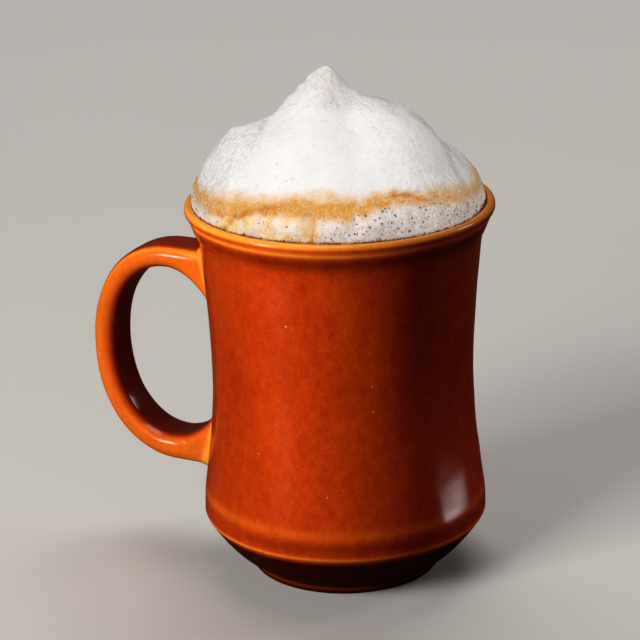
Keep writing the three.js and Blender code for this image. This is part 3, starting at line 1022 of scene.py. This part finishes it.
# Cloudy variation between 0 and 1
def cloudsGroup():
    group, given, cloud = startGroup("clouds", "ShaderNodeTree", {
        "Place": "Vector", "Scale": "Float", "Detail": "Float", "Stretch": "Float", "Contrast": "Float",
    }, "Cloud", "Float")
    stretch = addNode(group, "ShaderNodeCombineXYZ", {"X": 1.0, "Y": 1.0, "Z": given["Stretch"]})
    sides = {0: given["Place"], 1: stretch.outputs[0]}
    noise = addNode(group, "ShaderNodeTexNoise", {
        "Vector": addNode(group, "ShaderNodeVectorMath", sides, operation="MULTIPLY").outputs["Vector"],
        "Scale": given["Scale"], "Detail": given["Detail"], "Roughness": 0.6,
    })
    centred = multiply(group, addMath(group, "SUBTRACT", noise.outputs["Fac"], 0.5), given["Contrast"])
    group.links.new(addMath(group, "ADD", centred, 0.5, clamp=True), cloud)
    return group


# Sparse round spots: 1 inside a spot
def spotsGroup():
    group, given, spot = startGroup("spots", "ShaderNodeTree", {
        "Place": "Vector", "Scale": "Float", "Share": "Float", "Size": "Float",
    }, "Spot", "Float")
    cells = addNode(group, "ShaderNodeTexVoronoi", {"Vector": given["Place"], "Scale": given["Scale"]})
    chosen = addNode(group, "ShaderNodeSeparateColor", {"Color": cells.outputs["Color"]})
    picked = addMath(group, "LESS_THAN", chosen.outputs[0], given["Share"])
    size = multiply(group, given["Size"], addMath(group, "ADD", chosen.outputs[1], 0.4))
    ratio = addMath(group, "DIVIDE", cells.outputs["Distance"], size)
    group.links.new(multiply(group, mapRange(group, ratio, 0.55, 1.0, 1.0, 0.0), picked), spot)
    return group


# Domes packed side by side, as the height for a bump
def domesGroup():
    group, given, height = startGroup(
        "domes", "ShaderNodeTree", {"Place": "Vector", "Scale": "Float"}, "Height", "Float")
    cells = addNode(group, "ShaderNodeTexVoronoi", {"Vector": given["Place"], "Scale": given["Scale"]})
    dome = addMath(group, "SUBTRACT", 0.5, addMath(group, "POWER", cells.outputs["Distance"], 2.0))
    sizes = addNode(group, "ShaderNodeSeparateColor", {"Color": cells.outputs["Color"]})
    group.links.new(multiply(group, dome, sizes.outputs[0]), height)
    return group


cloudsNodes, spotsNodes, domesNodes = cloudsGroup(), spotsGroup(), domesGroup()


# A group's value at a place. Its other inputs are given in their order, which a note above the looks names
def useGroup(tree, group, place, *values):
    names = [item.name for item in group.interface.items_tree if item.in_out == "INPUT"]
    sockets = dict(zip(names, (place, *values)))
    return addNode(tree, "ShaderNodeGroup", node_tree=group, sockets=sockets).outputs[0]


def mixColours(tree, share, first, second):
    node = addNode(tree, "ShaderNodeMix", {"Factor": share}, data_type="RGBA")
    colours = [k for k, socket in enumerate(node.inputs) if socket.type == "RGBA"]
    setSockets(tree, node, dict(zip(colours, (first, second))))
    return next(socket for socket in node.outputs if socket.type == "RGBA")


def cloudedColour(tree, place, clouds, first, second):
    return mixColours(tree, useGroup(tree, cloudsNodes, place, *clouds), first, second)


def readAttribute(tree, name):
    return addNode(tree, "ShaderNodeAttribute", attribute_name=name).outputs["Fac"]


def startMaterial(name):
    material = bpy.data.materials.new(name)
    material.use_nodes = True
    tree = material.node_tree
    tree.nodes.clear()
    shader = tree.nodes.new("ShaderNodeBsdfPrincipled")
    output = tree.nodes.new("ShaderNodeOutputMaterial")
    tree.links.new(shader.outputs["BSDF"], output.inputs["Surface"])
    place = tree.nodes.new("ShaderNodeTexCoord").outputs["Object"]
    return material, tree, shader, place


def raiseBump(tree, shader, height, strength, distance):
    bump = addNode(tree, "ShaderNodeBump", {"Height": height, "Strength": strength, "Distance": distance})
    tree.links.new(bump.outputs["Normal"], shader.inputs["Normal"])


# In the looks, clouds have their scale, detail, stretch and contrast; spots their scale, share and size;
# domes their scale; and a bump its strength and distance. A range is from and to, then the new from and to.

glazeLook = {
    "body": (0.64, 0.074, 0.006),
    "dark": (0.38, 0.028, 0.0025),
    # pooled glaze, which also gives the painted shade
    "poolAndShade": (0.050, 0.004, 0.001),
    "ember": (0.84, 0.17, 0.013),      # glaze of half the thickness
    "thin": (0.88, 0.33, 0.035),
    "clouds": [(60.0, 3.0, 0.45, 1.6), (420.0, 4.0, 0.7, 2.0), (1500.0, 2.0, 1.0, 2.6)],
    "cloudParts": (0.45, 0.35, 0.2),
    "darkRange": (0.2, 0.8),
    "thinRange": (0.1, 0.9, 1.25, 0.6),      # it runs thinnest where the clouds are low
    # colour, spots and strength
    "specks": ((0.10, 0.012, 0.003), (420.0, 0.05, 0.12), 0.6),
    "pinholes": ((0.85, 0.50, 0.32), (300.0, 0.11, 0.075), 0.7),
    "roughness": (0.0, 1.0, 0.128, 0.208),
    "specular": 0.45,
    "peel": (260.0, 1.0, 1.0, 1.0),
    "pits": -0.5,
    "bump": (0.35, 0.06 * mm),
}


def glazeMaterial(look):
    material, tree, shader, place = startMaterial("amberGlaze")
    clouds = [useGroup(tree, cloudsNodes, place, *cloud) for cloud in look["clouds"]]
    shade = blend(tree, clouds, look["cloudParts"])
    colour = mixColours(tree, mapRange(tree, shade, *look["darkRange"]), look["body"], look["dark"])
    # darker where the glaze pools and where shade is painted
    colour = mixColours(tree, readAttribute(tree, "poolAndShade"), colour, look["poolAndShade"])
    broken = mapRange(tree, shade, *look["thinRange"])
    broken = multiply(tree, readAttribute(tree, "thin"), broken, clamp=True)
    colour = mixColours(tree, mapRange(tree, broken, 0.0, 0.5), colour, look["ember"])
    colour = mixColours(tree, mapRange(tree, broken, 0.5, 1.0), colour, look["thin"])
    spots = {}
    for name in ("specks", "pinholes"):
        tint, spotted, strength = look[name]
        spots[name] = useGroup(tree, spotsNodes, place, *spotted)
        colour = mixColours(tree, multiply(tree, spots[name], strength), colour, tint)
    setSockets(tree, shader, {
        "Base Color": colour, "Roughness": mapRange(tree, clouds[1], *look["roughness"]),
        "Specular IOR Level": look["specular"],
    })
    peel = useGroup(tree, cloudsNodes, place, *look["peel"])
    raiseBump(tree, shader, blend(tree, (peel, spots["specks"]), (1.0, look["pits"])), *look["bump"])
    return material


foamLook = {
    "white": (0.775, 0.76, 0.745),
    # grey mottling: random tone, and partly painted shade of the bubbles where they stand out
    "grey": (0.56, 0.535, 0.51),
    "greyRange": (0.5, 0.95, 0.0, 0.25),
    "clouds": [(240.0, 4.0, 0.8, 1.8), (1300.0, 3.0, 0.8, 2.0)],
    "cloudParts": (0.4, 0.6),
    # what lies over the white, by its mask: the colour, and how the clouds fray it
    "layers": {
        "pores": ((0.69, 0.59, 0.50), (0.25, 0.8, 0.15, 0.95)),
        # painted shade
        "paintedShade": ((0.55, 0.48, 0.43), (0.2, 0.8, 0.55, 1.1)),
        "cream": ((0.83, 0.59, 0.25), (0.2, 0.8, 0.7, 1.15)),
        "tan": ((0.69, 0.375, 0.085), (0.2, 0.8, 0.72, 1.2)),
        "deep": ((0.55, 0.20, 0.010), (0.2, 0.8, 0.75, 1.2)),
    },
    # the finest bubbles: colour and spots. The froth's pale spots are partly painted highlights on the
    # bubbles
    "lace": ((0.86, 0.80, 0.68), (900.0, 0.6, 0.42)),
    "froth": ((0.82, 0.62, 0.32), (1600.0, 0.8, 0.34)),
    "pinholes": ((0.26, 0.17, 0.12), (1050.0, 0.45, 0.27)),
    "grit": ((0.40, 0.31, 0.25), (1700.0, 0.8, 0.36)),
    # how strongly they show on the cream, the tan band and the porous foam below it
    "laceOnCream": 0.75,
    "frothOnTan": (0.0, 0.8, 0.0, 0.5),
    "pinholesOnCream": 0.3,
    "pinholesOnPores": (0.0, 1.0, 0.1, 0.75),
    "gritOnPores": 0.45,
    # the dark line at the lip: brown bubbles, partly painted shade
    "seam": (0.12, 0.025, 0.005),
    "seamStrength": 0.85,
    "roughness": (1.0, 2.6, 0.5, 0.26),      # from the smooth front to where the bubbles stand out
    "specular": 0.24,
    "subsurface": 0.6,
    "scatter": (1.0, 0.9, 0.8),
    "scatterScale": 3 * mm,
    "domes": (1900.0, 950.0),
    "heights": (0.5, 1.0, -0.6),      # of the small and large domes, and of the pinholes
    "bump": (0.75, 0.35 * mm),
}


def foamMaterial(look):
    material, tree, shader, place = startMaterial("milkFoam")
    clouds = [useGroup(tree, cloudsNodes, place, *cloud) for cloud in look["clouds"]]
    mix = blend(tree, clouds, look["cloudParts"])
    masks = {name: readAttribute(tree, name) for name in (*look["layers"], "seam", "grain")}
    # grey mottling, stronger where the bubbles stand out: partly painted shade of the bubbles
    mottled = multiply(tree, mapRange(tree, mix, *look["greyRange"]), masks["grain"], clamp=True)
    colour = mixColours(tree, mottled, look["white"], look["grey"])
    frayed = {}
    for name, (tint, fray) in look["layers"].items():
        frayed[name] = multiply(tree, masks[name], mapRange(tree, mix, *fray), clamp=True)
        colour = mixColours(tree, frayed[name], colour, tint)
    onPores = mapRange(tree, masks["pores"], *look["pinholesOnPores"])
    showing = {
        "lace": multiply(tree, frayed["cream"], look["laceOnCream"]),
        # pale froth on the tan band, partly painted highlights
        "froth": mapRange(tree, masks["tan"], *look["frothOnTan"]),
        "pinholes": addMath(tree, "ADD", onPores, multiply(tree, frayed["cream"], look["pinholesOnCream"])),
        "grit": multiply(tree, masks["pores"], look["gritOnPores"]),
    }
    spots = {}
    for name, strength in showing.items():
        tint, spotted = look[name]
        spots[name] = useGroup(tree, spotsNodes, place, *spotted)
        colour = mixColours(tree, multiply(tree, spots[name], strength, clamp=True), colour, tint)
    colour = mixColours(tree, multiply(tree, masks["seam"], look["seamStrength"]), colour, look["seam"])
    setSockets(tree, shader, {
        "Base Color": colour, "Roughness": mapRange(tree, masks["grain"], *look["roughness"]),
        "Specular IOR Level": look["specular"], "Subsurface Weight": look["subsurface"],
        "Subsurface Radius": look["scatter"], "Subsurface Scale": look["scatterScale"],
    })
    domes = [useGroup(tree, domesNodes, place, scale) for scale in look["domes"]]
    height = blend(tree, (*domes, spots["pinholes"]), look["heights"])
    raiseBump(tree, shader, multiply(tree, height, masks["grain"]), *look["bump"])
    return material


bubbleLook = {
    # two colours, the one where coffee has soaked in, and the roughness
    "openPore": ((0.11, 0.07, 0.055), (0.32, 0.19, 0.12), (0.24, 0.09, 0.03), 0.4),
    "coffeeBubble": ((0.10, 0.020, 0.006), (0.36, 0.14, 0.05), (0.30, 0.10, 0.02), 0.4),
    "milkBubble": ((0.78, 0.75, 0.71), (0.79, 0.74, 0.67), (0.82, 0.57, 0.25), 0.35),
    "specular": 0.18,
    "clouds": (700.0, 2.0, 1.0, 2.5),
    "domes": 4000.0,
    "bump": (0.2, 0.02 * mm),
}


def bubbleMaterial(name, look):
    material, tree, shader, place = startMaterial(name)
    first, second, soaked, roughness = look[name]
    plain = cloudedColour(tree, place, look["clouds"], first, second)
    colour = mixColours(tree, readAttribute(tree, "tan"), plain, soaked)
    setSockets(tree, shader, {
        "Base Color": colour, "Roughness": roughness, "Specular IOR Level": look["specular"],
    })
    raiseBump(tree, shader, useGroup(tree, domesNodes, place, look["domes"]), *look["bump"])
    return material


coffeeLook = {
    "colour": (0.30, 0.14, 0.055), "pale": (0.52, 0.30, 0.15), "roughness": 0.12,
    "clouds": (90.0, 4.0, 1.0, 2.2), "domes": 1600.0, "bump": (0.15, 0.1 * mm),
}


def coffeeMaterial(look):
    material, tree, shader, place = startMaterial("milkyCoffee")
    colour = cloudedColour(tree, place, look["clouds"], look["colour"], look["pale"])
    setSockets(tree, shader, {"Base Color": colour, "Roughness": look["roughness"]})
    raiseBump(tree, shader, useGroup(tree, domesNodes, place, look["domes"]), *look["bump"])
    return material


mugPiece.data.materials.append(glazeMaterial(glazeLook))
foamPiece.data.materials.append(foamMaterial(foamLook))
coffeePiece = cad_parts["coffee"]
coffeePiece.data.materials.clear()
coffeePiece.data.materials.append(coffeeMaterial(coffeeLook))

setAttribute(foamPiece.data, "pearls", pearlMask(toMillimetres(foamPiece.data), pearlPatches))
scatterNodes = bubbleTree()
porePiece, seamPiece, pearlPiece = (
    scatter(name, foamPiece, scatterNodes, settings, bubbleMaterial(finish, bubbleLook))
    for name, settings, finish in (
        ("foamPores", poreSettings, "openPore"),
        ("seamBubbles", seamSettings, "coffeeBubble"),
        ("foamPearls", pearlSettings, "milkBubble"),
    )
)
for piece in (porePiece, seamPiece, pearlPiece):
    print("scattered", piece.name, len(piece.data.polygons), "faces")

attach(mugPiece, "root")
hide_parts("mug")
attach(foamPiece, "root")
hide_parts("foam")
for piece in (porePiece, seamPiece, pearlPiece):
    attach(piece, "root")


# Floor, camera and lights

floorLook = {
    "size": 8.0, "colour": (0.66, 0.64, 0.61), "mottle": (0.62, 0.60, 0.57), "roughness": 0.6,
    "specular": 0.0, "clouds": (3.0, 3.0, 1.0, 1.2),
    "bounce": (0.08, 0.032, 0.02),      # how much of its light comes back on to the mug
}


def buildFloor(look):
    half = look["size"] / 2
    mesh = bpy.data.meshes.new("floor")
    corners = [(-half, -half, 0), (half, -half, 0), (half, half, 0), (-half, half, 0)]
    mesh.from_pydata(corners, [], [(0, 1, 2, 3)])
    material, tree, shader, place = startMaterial("paleFloor")
    pale = cloudedColour(tree, place, look["clouds"], look["colour"], look["mottle"])
    seen = tree.nodes.new("ShaderNodeLightPath").outputs["Is Camera Ray"]
    colour = mixColours(tree, seen, look["bounce"], pale)
    setSockets(tree, shader, {
        "Base Color": colour, "Roughness": look["roughness"], "Specular IOR Level": look["specular"],
    })
    mesh.materials.append(material)
    return makeObject("floor", mesh)


floorPiece = buildFloor(floorLook)

cameraView = {
    "turn": 27.0,      # degrees round the mug from its front, towards its right
    "away": 0.650,
    "height": 0.2995,
    "tilt": 19.474,
    "swing": -0.521,
    "roll": -1.306,
    "lens": 143.1,
}


def aimCamera(view):
    turn, tilt, swing, roll = (math.radians(view[key]) for key in ("turn", "tilt", "swing", "roll"))
    data = bpy.data.cameras.new("camera")
    data.lens = view["lens"]
    data.sensor_width = 36.0
    data.dof.use_dof = False
    camera = makeObject("camera", data)
    turned = Matrix.Rotation(turn - swing, 3, "Z") @ Matrix.Rotation(math.pi / 2 - tilt, 3, "X")
    turned = turned @ Matrix.Rotation(roll, 3, "Z")
    place = (mugAxis + view["away"] * math.sin(turn), -view["away"] * math.cos(turn), view["height"])
    camera.matrix_world = Matrix.LocRotScale(place, turned, None)
    bpy.context.scene.camera = camera


aimCamera(cameraView)

# What a light doesn't say is as in plainLight. Turns are counted from the camera, towards the right
plainLight = {
    "away": 1.1, "aim": 0.075, "spread": 180, "colour": (1.0, 0.98, 0.96), "gloss": True, "only": None,
}
foamLight = (1.0, 0.99, 0.985)
lights = {
    "key": {
        "turn": -46, "rise": 10, "away": 0.15, "size": (0.04, 0.18), "power": 0.138, "only": "mug",
        "gloss": False,
    },
    "floorKey": {"turn": -46, "rise": 28, "size": (0.5, 0.5), "power": 9.0, "only": "floor"},
    "foamKey": {
        "turn": -54, "rise": 30, "size": (0.8, 0.8), "power": 12.2, "colour": foamLight, "only": "foam",
    },
    "spark": {"turn": -57, "rise": 14, "size": (0.16, 0.32), "power": 3.4, "only": "mug"},
    "side": {"turn": -86, "rise": 30, "size": (0.4, 0.4), "power": 3.2, "only": "mug", "gloss": False},
    "sheen": {
        "turn": 88, "rise": -8, "away": 0.108, "aim": 0.02, "spread": 60, "size": (0.06, 0.008),
        "power": 0.0009, "colour": (1.0, 0.92, 0.92), "only": "mug",
    },
    "top": {"turn": -30, "rise": 78, "size": (0.6, 0.6), "power": 3.0, "only": "mug"},
    "back": {
        "turn": 178, "rise": 50, "away": 1.5, "size": (1.2, 0.8), "power": 2.8, "colour": (1.0, 0.99, 0.98),
        "gloss": False,
    },
    "backdrop": {
        "turn": 178, "rise": 55, "away": 1.6, "size": (1.4, 1.0), "power": 9.0, "colour": (1.0, 0.99, 0.98),
        "only": "floor",
    },
    "rim": {
        "turn": 108, "rise": 28, "away": 1.0, "size": (0.22, 0.3), "power": 0.9, "colour": (1.0, 0.97, 0.94),
    },
    "foamFill": {
        "turn": 56, "rise": 32, "size": (0.8, 0.8), "power": 6.2, "colour": foamLight, "only": "foam",
    },
}
lightGroups = {
    "foam": (foamPiece, porePiece, seamPiece, pearlPiece), "mug": (mugPiece,), "floor": (floorPiece,),
}


def addLight(name, settings):
    turn = math.radians(cameraView["turn"] + settings["turn"])
    rise = math.radians(settings["rise"])
    away = Vector((math.sin(turn) * math.cos(rise), -math.cos(turn) * math.cos(rise), math.sin(rise)))
    data = bpy.data.lights.new(name, "AREA")
    data.shape = "RECTANGLE"
    data.size, data.size_y = settings["size"]
    data.energy = settings["power"]
    data.spread = math.radians(settings["spread"])
    data.color = settings["colour"]
    light = makeObject(name, data)
    light.visible_camera = False
    light.visible_glossy = settings["gloss"]
    if settings["only"]:
        lit = bpy.data.collections.new(name + "Receivers")
        for piece in lightGroups[settings["only"]]:
            lit.objects.link(piece)
        light.light_linking.receiver_collection = lit
    light.location = Vector((mugAxis, 0, settings["aim"])) + away * settings["away"]
    light.rotation_euler = (-away).to_track_quat("-Z", "Y").to_euler()


for lightName, lightSettings in lights.items():
    addLight(lightName, {**plainLight, **lightSettings})

surroundings = {"colour": (0.80, 0.82, 0.85), "strength": 0.045}
world = bpy.data.worlds.new("studio")
world.use_nodes = True
light = world.node_tree.nodes["Background"].inputs
light["Color"].default_value = (*surroundings["colour"], 1)
light["Strength"].default_value = surroundings["strength"]
bpy.context.scene.world = world
bpy.context.scene.view_settings.view_transform = "Standard"
bpy.context.scene.view_settings.look = "Medium High Contrast"
print("floor, camera and lights placed")
